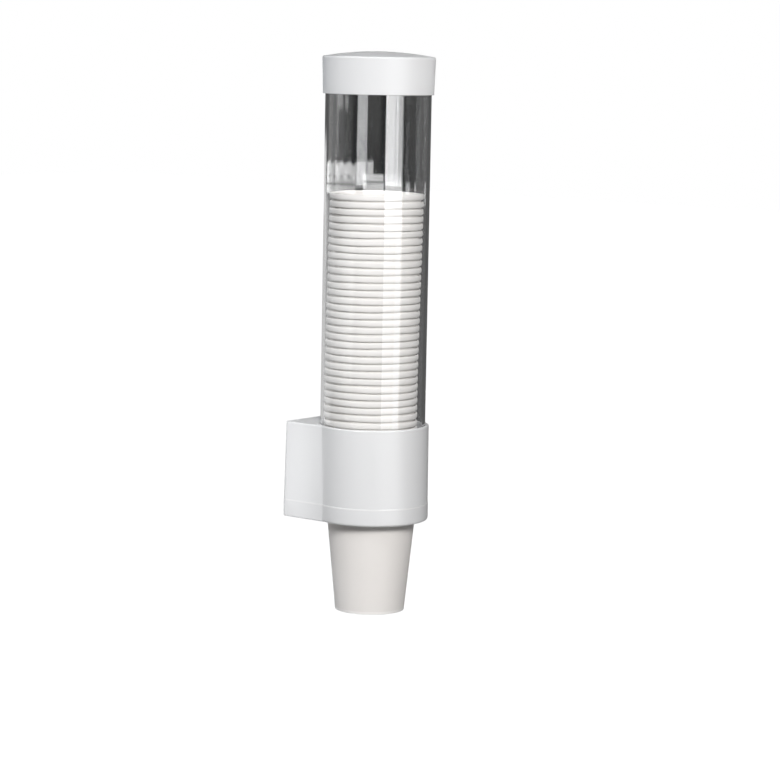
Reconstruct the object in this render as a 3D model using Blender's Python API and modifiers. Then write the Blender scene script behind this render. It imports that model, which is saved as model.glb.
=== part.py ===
"""Wall-mounted pull-type paper cup dispenser.

Metres, +Z up. The wall is the plane y = 0 and the dispenser stands off it towards -Y.
The origin is the centre of the wall plate's back face.
"""

import math

import bmesh
import bpy

# Fits shared by the whole object
TOUCH = 0.0003
CUT_OVERRUN = 0.001
MERGE = 0.00001
WELD = 0.000002

# Facets round the circle
FINE_STEPS = 64
CUP_STEPS = 48
STACK_STEPS = 24
SCREW_STEPS = 16
FILLET_STEPS = 3
DOME_STEPS = 6
ROOT_STEPS = 6

# Paper cup
CUP_HEIGHT = 0.0787
CUP_RIM_RADIUS = 0.037
CUP_RIM_HEIGHT = 0.0032
CUP_ROLL_WIDTH = 0.00197
CUP_BEAD_ROUND = 0.0006
CUP_TAPER = 0.00758
CUP_WALL = 0.00028
CUP_SKIRT_WALL = 0.0005
CUP_BASE_RISE = 0.005
CUP_BASE_THICKNESS = 0.0004
NEST_GAP = 0.00033

# Tube round the cups
CUP_TO_TUBE = 0.0025
TUBE_WALL = 0.002
TUBE_LENGTH = 0.3439
TUBE_EDGE_SHARE = 0.2
STACK_FILL_SHARE = 0.74

# Housing: a round collar and a square block
HOUSING_HEIGHT = 0.0759
SEAM_HEIGHT = 0.014
COLLAR_WALL = 0.00265
COLLAR_DRAFT = 0.0003
COLLAR_TO_WALL = 0.01275
COLLAR_INNER_WALL = 0.0025
LEDGE_THICKNESS = 0.004
LEDGE_LIP = 0.0002
BLOCK_INSET = 0.00465
BLOCK_DRAFT = 0.0019
BLOCK_CORNER = 0.003
SHELL_WALL = 0.002
EDGE_FILLET = 0.0012
MOUTH_CHAMFER = 0.0006
BACK_WALL = 0.0025
CENTRE_RIB = 0.012

# Bottom cover
COVER_LIP = 0.0003
COVER_FILLET = 0.0022
COVER_RIM_WALL = 0.00145
RING_SHOULDER = 0.0016
RING_THICKNESS = 0.0042
RING_TO_RIM = 0.0014

# Fingers that hold the lowest cup
FINGER_COUNT = 6
FINGER_PHASE_SHARE = 0.5
FINGER_TO_RIM = 0.0013
FINGER_THICKNESS = 0.0012
FINGER_WIDTH = 0.012
TOE_TO_CUP = 0.00097
TOE_OVER_UNDERSIDE = 0.0009
TOE_TIP_HEIGHT = 0.0006
TOE_SLOPE_RISE = 0.0017
TOE_CHAMFER = 0.0004

# Screws of the bottom cover: two by the back wall, two by the side walls
REAR_SCREW_INSET = 0.0098
POST_TO_SEAT = 0.0004
BOSS_RADIUS = 0.004
BOSS_STAND_OFF_SHARE = 0.85
BOSS_HEIGHT = 0.020
SCREW_RADIUS = 0.0012
SCREW_GRIP = 0.0081
SCREW_HEAD_RADIUS = 0.0026
SCREW_HEAD_HEIGHT = 0.0018
HEAD_FACE_SHARE = 0.7
HEAD_RECESS = 0.0024

# Wall plate with its two hooks, and the recess for it in the back of the housing
PLATE_THICKNESS = 0.004
PLATE_CORNER = 0.003
PLATE_PLAY = 0.001
PLATE_OVER_UNDERSIDE = 0.008
RECESS_SIDE = 0.0015
RECESS_WALL = 0.0053
RECESS_HEADROOM = 0.0035
RECESS_ROOF = 0.0044
HOOK_TO_BOSS = 0.0017
HOOK_RISE = 0.0077
HOOK_HEIGHT = 0.010
STEM_WIDTH = 0.0036
HEAD_WIDTH = 0.0086
HEAD_THICKNESS = 0.002
HOOK_PLAY = 0.0005
LIFT_TRAVEL = 0.015
PLATE_HOLE_SPREAD = 0.012
PLATE_HOLE_RADIUS = 0.0022
COUNTERSINK_RADIUS = 0.0042
COUNTERSINK_DEPTH = 0.002
PAD_HALF_HEIGHT = 0.008
PAD_THICKNESS = 0.001
PAD_SIDE_MARGIN = 0.006
PAD_END_MARGIN = 0.003

# Lid
LID_PLAY = 0.0005
LID_WALL = 0.0014
LID_FLARE = 0.0009
LID_SKIRT_HEIGHT = 0.0293
LID_PLATE = 0.0018
LID_DOME = 0.0038
LID_FILLET = 0.0009

# Radii and widths worked out from the sizes above, from the cup outwards
CUP_NECK_RADIUS = CUP_RIM_RADIUS - CUP_ROLL_WIDTH
CUP_BASE_RADIUS = CUP_NECK_RADIUS - CUP_TAPER
CUP_SLOPE = CUP_TAPER / (CUP_HEIGHT - CUP_RIM_HEIGHT)
CUP_PITCH = CUP_BASE_RISE + CUP_BASE_THICKNESS + NEST_GAP
CUP_COUNT = 1 + int(STACK_FILL_SHARE * TUBE_LENGTH / CUP_PITCH)
TUBE_RADIUS = CUP_RIM_RADIUS + CUP_TO_TUBE + TUBE_WALL
BORE_RADIUS = TUBE_RADIUS + TOUCH
GUIDE_RADIUS = TUBE_RADIUS - TUBE_WALL - LEDGE_LIP
COLLAR_TOP_RADIUS = BORE_RADIUS + COLLAR_WALL
COLLAR_SEAM_RADIUS = COLLAR_TOP_RADIUS + COLLAR_DRAFT
POCKET_ROUND = BORE_RADIUS + COLLAR_INNER_WALL
BLOCK_HALF_WIDTH = COLLAR_TOP_RADIUS - BLOCK_INSET
BLOCK_SEAM_HALF_WIDTH = BLOCK_HALF_WIDTH + BLOCK_DRAFT
RING_SEAT_RADIUS = COLLAR_SEAM_RADIUS + COVER_LIP - COVER_RIM_WALL
MECHANISM_RADIUS = RING_SEAT_RADIUS - RING_SHOULDER
FINGER_RING_INNER = CUP_RIM_RADIUS + RING_TO_RIM
FINGER_HINGE_RADIUS = CUP_RIM_RADIUS + FINGER_TO_RIM + FINGER_THICKNESS / 2
TOE_TIP_RADIUS = CUP_NECK_RADIUS + TOE_TO_CUP
LID_BOTTOM_RADIUS = TUBE_RADIUS + LID_PLAY + LID_WALL
LID_TOP_RADIUS = LID_BOTTOM_RADIUS + LID_FLARE
PLATE_HALF_WIDTH = BLOCK_HALF_WIDTH - RECESS_WALL - RECESS_SIDE
PAD_HALF_WIDTH = PLATE_HALF_WIDTH - PAD_SIDE_MARGIN
REAR_SCREW_SPREAD = BLOCK_HALF_WIDTH - REAR_SCREW_INSET
HOOK_SPREAD = REAR_SCREW_SPREAD - BOSS_RADIUS - HOOK_TO_BOSS - HEAD_WIDTH / 2

# Depths from the wall
AXIS_TO_WALL = COLLAR_SEAM_RADIUS + COLLAR_TO_WALL
AXIS_Y = -AXIS_TO_WALL
RECESS_DEPTH = PLATE_THICKNESS + PLATE_PLAY

# Heights over the underside of the cover
SHOULDER_HEIGHT = SEAM_HEIGHT - RING_THICKNESS - TOUCH * 2
HINGE_HEIGHT = SHOULDER_HEIGHT - FINGER_THICKNESS / 2
FINGER_DROP = HINGE_HEIGHT - TOE_OVER_UNDERSIDE
TOE_TOP = TOE_OVER_UNDERSIDE + TOE_TIP_HEIGHT + TOE_CHAMFER
TOE_SLOPE = TOE_SLOPE_RISE / (FINGER_HINGE_RADIUS - FINGER_THICKNESS / 2 - TOE_TIP_RADIUS)
RIM_OVER_TOE = TOUCH + TOE_SLOPE * (CUP_RIM_RADIUS - CUP_BEAD_ROUND - TOE_TIP_RADIUS)
LOWEST_RIM_TOP = TOE_TOP + RIM_OVER_TOE + CUP_RIM_HEIGHT
RECESS_TOP = HOUSING_HEIGHT - RECESS_ROOF
PLATE_HALF_HEIGHT = (RECESS_TOP - RECESS_HEADROOM - PLATE_OVER_UNDERSIDE) / 2
PLATE_CENTRE_HEIGHT = PLATE_OVER_UNDERSIDE + PLATE_HALF_HEIGHT
PAD_SPREAD = PLATE_HALF_HEIGHT - PAD_END_MARGIN - PAD_HALF_HEIGHT
HOOK_TOP = PLATE_CENTRE_HEIGHT + HOOK_RISE

# Heights over the origin, which is at the plate's centre
UNDERSIDE = -PLATE_CENTRE_HEIGHT
SEAM = UNDERSIDE + SEAM_HEIGHT
LEDGE_TOP = SEAM + LEDGE_THICKNESS
HOUSING_TOP = UNDERSIDE + HOUSING_HEIGHT
TUBE_BOTTOM = LEDGE_TOP + TOUCH
TUBE_TOP = TUBE_BOTTOM + TUBE_LENGTH
LID_EDGE = TUBE_TOP + TOUCH + LID_PLATE
LOWEST_CUP_BOTTOM = UNDERSIDE + LOWEST_RIM_TOP - CUP_HEIGHT

WHITE = (0.83, 0.83, 0.84, 1.0)
PAPER = (0.87, 0.85, 0.82, 1.0)
CLEAR = (0.80, 0.82, 0.84, 0.30)
SOFT_GREY = (0.55, 0.56, 0.57, 1.0)
STEEL = (0.60, 0.61, 0.62, 1.0)
FOAM = (0.72, 0.72, 0.70, 1.0)


def clear_scene():
    for thing in list(bpy.data.objects):
        bpy.data.objects.remove(thing)


def new_collection(name):
    collection = bpy.data.collections.new(name)
    bpy.context.scene.collection.children.link(collection)
    return collection


def new_material(name, colour, roughness, metallic=0.0):
    material = bpy.data.materials.new(name)
    material.use_nodes = True
    shader = material.node_tree.nodes["Principled BSDF"]
    shader.inputs["Base Color"].default_value = colour
    shader.inputs["Roughness"].default_value = roughness
    shader.inputs["Metallic"].default_value = metallic
    shader.inputs["Alpha"].default_value = colour[3]
    return material


def new_object(name, mesh, collection):
    thing = bpy.data.objects.new(name, mesh)
    collection.objects.link(thing)
    return thing


def settle(thing):
    """Keep the shape that an object's modifiers give it, as plain mesh."""
    bpy.context.view_layer.update()
    seen = thing.evaluated_get(bpy.context.evaluated_depsgraph_get())
    mesh = bpy.data.meshes.new_from_object(seen)
    thing.modifiers.clear()
    thing.data = mesh
    return thing


def turned(name, profile, steps, collection):
    """Solid turned round Z from (radius, height) points that run down its outer side."""
    mesh = bpy.data.meshes.new(name)
    points = [(radius, 0.0, height) for radius, height in profile]
    on_axis = profile[0][0] == 0 and profile[-1][0] == 0
    edges = [(i, i + 1) for i in range(len(points) - 1)]
    if not on_axis:
        edges.append((len(points) - 1, 0))
    mesh.from_pydata(points, edges, [])
    thing = new_object(name, mesh, collection)
    screw = thing.modifiers.new("turn", "SCREW")
    screw.steps = steps
    screw.render_steps = steps
    screw.use_merge_vertices = True
    screw.merge_threshold = MERGE
    return settle(thing)


def box(name, low, high, collection):
    """Rectangular block between two corners."""
    mesh = bpy.data.meshes.new(name)
    cage = bmesh.new()
    bmesh.ops.create_cube(cage, size=1.0)
    sizes = [b - a for a, b in zip(low, high)]
    middle = [(a + b) / 2 for a, b in zip(low, high)]
    bmesh.ops.scale(cage, vec=sizes, verts=cage.verts)
    bmesh.ops.translate(cage, vec=middle, verts=cage.verts)
    cage.to_mesh(mesh)
    cage.free()
    return new_object(name, mesh, collection)


def rod(name, radius, low, high, steps, collection):
    """Upright cylinder round the object's own Z axis."""
    profile = [(0.0, high), (radius, high), (radius, low), (0.0, low)]
    return turned(name, profile, steps, collection)


def bevel_edges(thing, chosen, width, steps=FILLET_STEPS):
    """Round the edges for which chosen(start, end) is true."""
    cage = bmesh.new()
    cage.from_mesh(thing.data)
    edges = [edge for edge in cage.edges if chosen(edge.verts[0].co, edge.verts[1].co)]
    bmesh.ops.bevel(cage, geom=edges, offset=width, segments=steps, profile=0.5, affect="EDGES")
    cage.to_mesh(thing.data)
    cage.free()


def weld(mesh, distance):
    """Merge the doubled corners of a mesh."""
    cage = bmesh.new()
    cage.from_mesh(mesh)
    bmesh.ops.remove_doubles(cage, verts=cage.verts, dist=distance)
    cage.to_mesh(mesh)
    cage.free()


def combine(thing, others, operation):
    """Join or cut with each of the other objects, which stay as hidden cutters."""
    for other in others:
        modifier = thing.modifiers.new(other.name, "BOOLEAN")
        modifier.operation = operation
        modifier.solver = "EXACT"
        modifier.object = other
        settle(thing)
        weld(thing.data, WELD)


def hide_cutters(collection):
    for thing in collection.objects:
        thing.hide_render = True
        thing.display_type = "WIRE"


def quarter(centre_r, centre_z, radius, start, end):
    """Points of a fillet between two angles in degrees, in a (radius, height) profile."""
    points = []
    for step in range(FILLET_STEPS + 1):
        angle = math.radians(start + (end - start) * step / FILLET_STEPS)
        points.append((centre_r + radius * math.cos(angle), centre_z + radius * math.sin(angle)))
    return points


def on_tube_axis(*things):
    for thing in things:
        thing.location = (0.0, AXIS_Y, 0.0)


def collar_shape(name, low, high, low_radius, high_radius, low_fillet, high_fillet, collection):
    """Round half of the housing or its cover, solid, with rounded edges where asked."""
    profile = [(0.0, high)]
    if high_fillet:
        profile += quarter(high_radius - high_fillet, high - high_fillet, high_fillet, 90, 0)
    else:
        profile.append((high_radius, high))
    if low_fillet:
        profile += quarter(low_radius - low_fillet, low + low_fillet, low_fillet, 0, -90)
    else:
        profile.append((low_radius, low))
    profile.append((0.0, low))
    thing = turned(name, profile, FINE_STEPS, collection)
    on_tube_axis(thing)
    return thing


def block_shape(name, low, high, low_half, high_half, rounded_height, collection):
    """Square half of the housing or its cover, with draft, from the tube axis to the wall."""
    thing = box(name, (-low_half, AXIS_Y, low), (low_half, -TOUCH, high), collection)
    middle = (low + high) / 2
    for vertex in thing.data.vertices:
        if vertex.co.z > middle:
            vertex.co.x *= high_half / low_half
    behind = -BLOCK_CORNER
    bevel_edges(thing, lambda a, b: a.y > behind and b.y > behind and abs(a.z - b.z) > middle - low,
                BLOCK_CORNER)
    bevel_edges(thing, lambda a, b: abs(a.z - rounded_height) < MERGE and abs(b.z - rounded_height) < MERGE,
                EDGE_FILLET)
    return thing


def pocket_shape(name, side, low, high, cutters):
    """Hollow of the block on one side: a box less the round wall of the collar."""
    edges = sorted((side * CENTRE_RIB / 2, side * (BLOCK_HALF_WIDTH - SHELL_WALL)))
    pocket = box(name, (edges[0], AXIS_Y, low), (edges[1], -RECESS_DEPTH - BACK_WALL, high), cutters)
    keep = rod(name + "_round", POCKET_ROUND, low - CUT_OVERRUN, high + CUT_OVERRUN, FINE_STEPS, cutters)
    on_tube_axis(keep)
    combine(pocket, [keep], "DIFFERENCE")
    return pocket


def plate_recess(cutters):
    """Room behind the housing and its cover for the wall plate, open downwards."""
    half = PLATE_HALF_WIDTH + RECESS_SIDE
    low = (-half, -RECESS_DEPTH, UNDERSIDE - CUT_OVERRUN)
    high = (half, CUT_OVERRUN, UNDERSIDE + RECESS_TOP)
    return box("plate_recess", low, high, cutters)


def screw_positions():
    """Screw axes: each boss bites a little into the wall that it stands by."""
    stand_off = BOSS_RADIUS * BOSS_STAND_OFF_SHARE
    rear = (REAR_SCREW_SPREAD, RECESS_DEPTH + BACK_WALL + stand_off)
    side_x = BLOCK_HALF_WIDTH - SHELL_WALL - stand_off
    from_axis = RING_SEAT_RADIUS + BOSS_RADIUS + POST_TO_SEAT
    aside = (side_x, AXIS_TO_WALL - math.sqrt(from_axis ** 2 - side_x ** 2))
    return [(side * x, -y) for x, y in (rear, aside) for side in (-1, 1)]


def make_housing(parts, cutters):
    housing = collar_shape("housing", SEAM, HOUSING_TOP, COLLAR_SEAM_RADIUS, COLLAR_TOP_RADIUS,
                           0.0, EDGE_FILLET, parts)
    block = block_shape("block", SEAM, HOUSING_TOP, BLOCK_SEAM_HALF_WIDTH, BLOCK_HALF_WIDTH,
                        HOUSING_TOP, cutters)
    combine(housing, [block], "UNION")

    mouth = HOUSING_TOP + CUT_OVERRUN
    bore = turned("bore", [
        (0.0, mouth),
        (BORE_RADIUS + MOUTH_CHAMFER + CUT_OVERRUN, mouth),
        (BORE_RADIUS, HOUSING_TOP - MOUTH_CHAMFER),
        (BORE_RADIUS, LEDGE_TOP),
        (GUIDE_RADIUS, LEDGE_TOP),
        (GUIDE_RADIUS, SEAM - CUT_OVERRUN),
        (0.0, SEAM - CUT_OVERRUN),
    ], FINE_STEPS, cutters)
    on_tube_axis(bore)
    roof = HOUSING_TOP - SHELL_WALL
    pockets = [pocket_shape(f"block_pocket_{side:+d}", side, SEAM - CUT_OVERRUN, roof, cutters)
               for side in (-1, 1)]
    combine(housing, [bore] + pockets, "DIFFERENCE")

    bosses = []
    pilots = []
    for number, (x, y) in enumerate(screw_positions(), 1):
        boss = rod(f"boss_{number}", BOSS_RADIUS, SEAM + TOUCH, SEAM + BOSS_HEIGHT, SCREW_STEPS, cutters)
        boss.location = (x, y, 0.0)
        bosses.append(boss)
        pilot = rod(f"pilot_{number}", SCREW_RADIUS + TOUCH, SEAM - CUT_OVERRUN,
                    SEAM + BOSS_HEIGHT - SHELL_WALL, SCREW_STEPS, cutters)
        pilot.location = (x, y, 0.0)
        pilots.append(pilot)
    combine(housing, bosses, "UNION")
    combine(housing, pilots + [plate_recess(cutters)] + keyholes(cutters), "DIFFERENCE")
    return housing


def keyholes(cutters):
    """Slots in the housing's back wall: a window for each hook's head and a slot for its stem."""
    shapes = []
    head_low = UNDERSIDE + HOOK_TOP - HOOK_HEIGHT
    for side in (-1, 1):
        x = side * HOOK_SPREAD
        slot_half = STEM_WIDTH / 2 + TOUCH
        window_half = HEAD_WIDTH / 2 + HOOK_PLAY
        window_top = UNDERSIDE + HOOK_TOP - LIFT_TRAVEL + HOOK_PLAY * 2
        window_low = head_low - LIFT_TRAVEL - HOOK_PLAY * 2
        front = -RECESS_DEPTH - BACK_WALL - CUT_OVERRUN
        slot = box(f"slot_{x:+.3f}", (x - slot_half, front, window_low + HOOK_PLAY),
                   (x + slot_half, 0.0, UNDERSIDE + HOOK_TOP + TOUCH), cutters)
        window = box(f"window_{x:+.3f}", (x - window_half, front, window_low),
                     (x + window_half, 0.0, window_top), cutters)
        shapes += [slot, window]
    return shapes


def make_cover(parts, cutters):
    top = SEAM - TOUCH
    cover = collar_shape("bottom_cover", UNDERSIDE, top, COLLAR_SEAM_RADIUS + COVER_LIP,
                         COLLAR_SEAM_RADIUS + COVER_LIP, COVER_FILLET, TOUCH, parts)
    half = BLOCK_SEAM_HALF_WIDTH + COVER_LIP
    block = block_shape("cover_block", UNDERSIDE, top, half, half, UNDERSIDE, cutters)
    combine(cover, [block], "UNION")

    opening = turned("cover_opening", [
        (0.0, top + CUT_OVERRUN),
        (RING_SEAT_RADIUS, top + CUT_OVERRUN),
        (RING_SEAT_RADIUS, UNDERSIDE + SHOULDER_HEIGHT),
        (MECHANISM_RADIUS, UNDERSIDE + SHOULDER_HEIGHT),
        (MECHANISM_RADIUS, UNDERSIDE - CUT_OVERRUN),
        (0.0, UNDERSIDE - CUT_OVERRUN),
    ], FINE_STEPS, cutters)
    on_tube_axis(opening)
    floor = UNDERSIDE + SHELL_WALL
    pockets = [pocket_shape(f"cover_pocket_{side:+d}", side, floor, top + CUT_OVERRUN, cutters)
               for side in (-1, 1)]
    combine(cover, [opening] + pockets, "DIFFERENCE")

    posts = []
    holes = []
    for number, (x, y) in enumerate(screw_positions(), 1):
        post = rod(f"post_{number}", BOSS_RADIUS, floor - SHELL_WALL / 2, top - TOUCH, SCREW_STEPS, cutters)
        hole = rod(f"hole_{number}", SCREW_RADIUS + TOUCH, UNDERSIDE, top + CUT_OVERRUN,
                   SCREW_STEPS, cutters)
        sink = rod(f"sink_{number}", SCREW_HEAD_RADIUS + TOUCH, UNDERSIDE - CUT_OVERRUN,
                   UNDERSIDE + HEAD_RECESS, SCREW_STEPS, cutters)
        for thing in (post, hole, sink):
            thing.location = (x, y, 0.0)
        posts.append(post)
        holes += [hole, sink]
    combine(cover, posts, "UNION")
    combine(cover, holes + [bpy.data.objects["plate_recess"]], "DIFFERENCE")
    return cover


def make_screw(number, x, y, parts):
    head_top = UNDERSIDE + HEAD_RECESS - TOUCH
    head_low = head_top - SCREW_HEAD_HEIGHT
    tip = SEAM + SCREW_GRIP
    profile = [
        (0.0, tip),
        (SCREW_RADIUS / 2, tip),
        (SCREW_RADIUS, tip - SCREW_RADIUS),
        (SCREW_RADIUS, head_top),
        (SCREW_HEAD_RADIUS, head_top),
        (SCREW_HEAD_RADIUS, head_low + SCREW_HEAD_HEIGHT / 2),
        (SCREW_HEAD_RADIUS * HEAD_FACE_SHARE, head_low),
        (0.0, head_low),
    ]
    screw = turned(f"cover_screw_{number}", profile, SCREW_STEPS, parts)
    screw.location = (x, y, 0.0)
    return screw


def make_wall_plate(parts, cutters):
    low = (-PLATE_HALF_WIDTH, -PLATE_THICKNESS, -PLATE_HALF_HEIGHT)
    high = (PLATE_HALF_WIDTH, 0.0, PLATE_HALF_HEIGHT)
    plate = box("wall_plate", low, high, parts)
    bevel_edges(plate, lambda a, b: abs(a.y - b.y) > PLATE_THICKNESS / 2, PLATE_CORNER)
    stem_front = -RECESS_DEPTH - BACK_WALL - TOUCH
    hook_top = UNDERSIDE + HOOK_TOP
    hooks = []
    holes = []
    for side in (-1, 1):
        x = side * HOOK_SPREAD
        stem = box(f"stem_{x:+.3f}",
                   (x - STEM_WIDTH / 2, stem_front - HEAD_THICKNESS / 2, hook_top - HOOK_HEIGHT),
                   (x + STEM_WIDTH / 2, -PLATE_THICKNESS / 2, hook_top), cutters)
        head = box(f"head_{x:+.3f}",
                   (x - HEAD_WIDTH / 2, stem_front - HEAD_THICKNESS, hook_top - HOOK_HEIGHT),
                   (x + HEAD_WIDTH / 2, stem_front, hook_top), cutters)
        hooks += [stem, head]
        hole = turned(f"plate_hole_{x:+.3f}", [
            (0.0, PLATE_THICKNESS + CUT_OVERRUN),
            (COUNTERSINK_RADIUS + CUT_OVERRUN, PLATE_THICKNESS + CUT_OVERRUN),
            (PLATE_HOLE_RADIUS, PLATE_THICKNESS - COUNTERSINK_DEPTH),
            (PLATE_HOLE_RADIUS, -CUT_OVERRUN),
            (0.0, -CUT_OVERRUN),
        ], SCREW_STEPS, cutters)
        hole.rotation_euler = (math.pi / 2, 0.0, 0.0)
        hole.location = (side * PLATE_HOLE_SPREAD, 0.0, 0.0)
        holes.append(hole)
    for side in (-1, 1):
        low, high = pad_corners(side, TOUCH)
        holes.append(box(f"pad_recess_{side:+d}", low, (high[0], CUT_OVERRUN, high[2]), cutters))
    combine(plate, hooks, "UNION")
    combine(plate, holes, "DIFFERENCE")
    return plate


def pad_corners(side, play):
    """Corners of a foam pad in the plate's back, grown by some play at its sides and its floor."""
    height = side * PAD_SPREAD
    low = (-PAD_HALF_WIDTH - play, -PAD_THICKNESS - play, height - PAD_HALF_HEIGHT - play)
    high = (PAD_HALF_WIDTH + play, 0.0, height + PAD_HALF_HEIGHT + play)
    return low, high


def make_pad(name, side, parts):
    low, high = pad_corners(side, 0.0)
    return box(name, low, high, parts)


def make_lid(parts):
    """Cap whose plate rests on the tube's end and whose dome is an arc over it."""
    skirt_low = LID_EDGE - LID_SKIRT_HEIGHT
    shoulder = LID_TOP_RADIUS - LID_FILLET
    outside = []
    for step in range(DOME_STEPS):
        share = step / DOME_STEPS
        outside.append((shoulder * share, LID_EDGE + LID_DOME * (1 - share ** 2)))
    outside += quarter(shoulder, LID_EDGE - LID_FILLET, LID_FILLET, 90, 0)
    outside.append((LID_BOTTOM_RADIUS, skirt_low))
    inside = [
        (LID_BOTTOM_RADIUS - LID_WALL, skirt_low),
        (LID_TOP_RADIUS - LID_WALL, LID_EDGE - LID_PLATE),
        (TUBE_RADIUS - TUBE_WALL, LID_EDGE - LID_PLATE),
        (0.0, LID_EDGE + LID_DOME - LID_PLATE),
    ]
    lid = turned("lid", outside + inside, FINE_STEPS, parts)
    on_tube_axis(lid)
    return lid


def make_tube(parts):
    inner = TUBE_RADIUS - TUBE_WALL
    ease = TUBE_WALL * TUBE_EDGE_SHARE
    tube = turned("tube", [
        (inner + ease, TUBE_TOP),
        (TUBE_RADIUS - ease, TUBE_TOP),
        (TUBE_RADIUS, TUBE_TOP - ease),
        (TUBE_RADIUS, TUBE_BOTTOM),
        (inner, TUBE_BOTTOM),
        (inner, TUBE_TOP - ease),
    ], FINE_STEPS, parts)
    on_tube_axis(tube)
    return tube


def cup_outside(bottom):
    """Outer side of one cup, rim first: bead, neck, cone, foot."""
    top = bottom + CUP_HEIGHT
    under = top - CUP_RIM_HEIGHT
    return [
        (CUP_RIM_RADIUS - CUP_BEAD_ROUND, top),
        (CUP_RIM_RADIUS, top - CUP_BEAD_ROUND),
        (CUP_RIM_RADIUS, under + CUP_BEAD_ROUND),
        (CUP_RIM_RADIUS - CUP_BEAD_ROUND, under),
        (CUP_NECK_RADIUS, under),
        (CUP_BASE_RADIUS, bottom),
    ]


def cup_underside(bottom):
    """Foot and recessed base of a cup, from its outer edge to the axis."""
    base = bottom + CUP_BASE_RISE
    base_wall = CUP_BASE_RADIUS + CUP_SLOPE * CUP_BASE_RISE - CUP_SKIRT_WALL
    return [
        (CUP_BASE_RADIUS - CUP_SKIRT_WALL, bottom),
        (base_wall, base),
        (0.0, base),
    ]


def cup_inside(bottom):
    """Hollow of a cup, from the axis up to the inner edge of its rim."""
    floor = CUP_BASE_RISE + CUP_BASE_THICKNESS
    return [
        (0.0, bottom + floor),
        (CUP_BASE_RADIUS + CUP_SLOPE * floor - CUP_WALL, bottom + floor),
        (CUP_BASE_RADIUS + CUP_SLOPE * CUP_HEIGHT - CUP_WALL, bottom + CUP_HEIGHT),
    ]


def make_cup(name, bottom, steps, parts):
    profile = cup_inside(bottom) + cup_outside(bottom) + cup_underside(bottom)
    cup = turned(name, profile, steps, parts)
    on_tube_axis(cup)
    return cup


def make_cup_stack(first, last, parts):
    """Nested cups in one solid, rim over rim, hollow only as the highest of them is."""
    profile = cup_inside(cup_bottom(last))
    rim_radius = CUP_RIM_RADIUS
    for place in range(last, first, -1):
        top = cup_bottom(place) + CUP_HEIGHT
        profile += [
            (rim_radius, top),
            (rim_radius, top - CUP_RIM_HEIGHT),
            (CUP_NECK_RADIUS, top - (CUP_RIM_HEIGHT + CUP_PITCH) / 2),
        ]
    profile += cup_outside(cup_bottom(first)) + cup_underside(cup_bottom(first))
    stack = turned("cup_stack", profile, STACK_STEPS, parts)
    on_tube_axis(stack)
    return stack


def cup_bottom(place):
    """Height of a cup's foot, counting from 0 for the lowest cup."""
    return LOWEST_CUP_BOTTOM + place * CUP_PITCH


def make_finger_ring(parts):
    low = UNDERSIDE + SHOULDER_HEIGHT + TOUCH
    high = SEAM - TOUCH
    outer = RING_SEAT_RADIUS - TOUCH
    ring = turned("finger_ring", [
        (FINGER_RING_INNER, high),
        (outer, high),
        (outer, low),
        (FINGER_RING_INNER, low),
    ], FINE_STEPS, parts)
    on_tube_axis(ring)
    return ring


def finger_outline():
    """Finger seen from the side: round root at the hinge, straight arm, toe that slopes inwards."""
    half = FINGER_THICKNESS / 2
    tip = TOE_TIP_RADIUS - FINGER_HINGE_RADIUS
    low = -FINGER_DROP
    toe_top = low + TOE_TOP - TOE_OVER_UNDERSIDE
    points = []
    for step in range(ROOT_STEPS + 1):
        angle = math.pi * step / ROOT_STEPS
        points.append((half * math.cos(angle), half * math.sin(angle)))
    points += [
        (-half, toe_top + TOE_SLOPE_RISE),
        (tip, toe_top),
        (tip, low + TOE_CHAMFER),
        (tip + TOE_CHAMFER, low),
        (half - TOE_CHAMFER, low),
        (half, low + TOE_CHAMFER),
    ]
    return points


def make_finger(number, parts):
    """Finger as a flat outline with an even width, hinged under the finger ring."""
    name = f"finger_{number}"
    outline = bpy.data.curves.new(name, "CURVE")
    outline.dimensions = "2D"
    outline.fill_mode = "BOTH"
    outline.extrude = FINGER_WIDTH / 2
    spline = outline.splines.new("POLY")
    points = finger_outline()
    spline.points.add(len(points) - 1)
    for point, (x, y) in zip(spline.points, points):
        point.co = (x, y, 0.0, 1.0)
    spline.use_cyclic_u = True
    drawn = bpy.data.objects.new(name + "_outline", outline)
    parts.objects.link(drawn)
    bpy.context.view_layer.update()
    seen = drawn.evaluated_get(bpy.context.evaluated_depsgraph_get())
    mesh = bpy.data.meshes.new_from_object(seen)
    bpy.data.objects.remove(drawn)
    weld(mesh, MERGE)
    finger = new_object(name, mesh, parts)
    angle = 2 * math.pi * (number - FINGER_PHASE_SHARE) / FINGER_COUNT
    finger.location = (FINGER_HINGE_RADIUS * math.cos(angle),
                       AXIS_Y + FINGER_HINGE_RADIUS * math.sin(angle), UNDERSIDE + HINGE_HEIGHT)
    finger.rotation_euler = (math.pi / 2, 0.0, angle)
    return finger


def finish(thing, material, smooth_angle=math.radians(30)):
    thing.data.materials.clear()
    thing.data.materials.append(material)
    thing.data.shade_smooth()
    thing.data.set_sharp_from_angle(angle=smooth_angle)


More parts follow.
